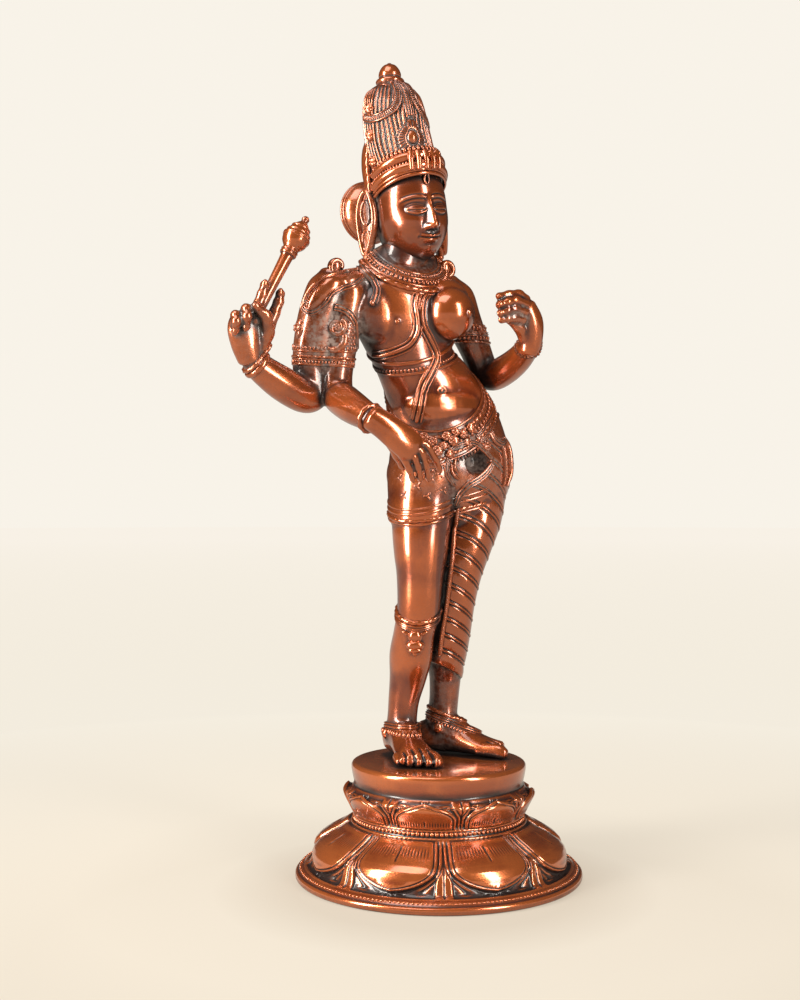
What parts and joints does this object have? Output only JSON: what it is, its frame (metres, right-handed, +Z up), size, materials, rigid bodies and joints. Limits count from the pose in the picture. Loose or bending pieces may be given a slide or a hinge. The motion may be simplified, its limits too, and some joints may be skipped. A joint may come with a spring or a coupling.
{
  "type": "ardhanarishvara statue",
  "caption": "Standing half-male, half-female deity with a tall hair crown, raised club, hand on the thigh and striped cloth, on a round lotus plinth, in antique copper finish.",
  "frame": {"origin": "centre of the plinth's flat underside, on the surface that the statue stands on", "axes": "+Z up; the figure faces -Y and its own left side is +X"},
  "size_m": [0.2056, 0.159, 0.4493],
  "materials": {
    "plinth_copper": "copper-coloured cast metal, polished high spots and near-black patina in the chasing",
    "figure_copper": "copper-coloured cast metal, polished skin and near-black patina in the chasing"
  },
  "bodies": {
    "root": {"lotus_plinth": "plinth_copper", "figure": "figure_copper"}
  },
  "joints": []
}
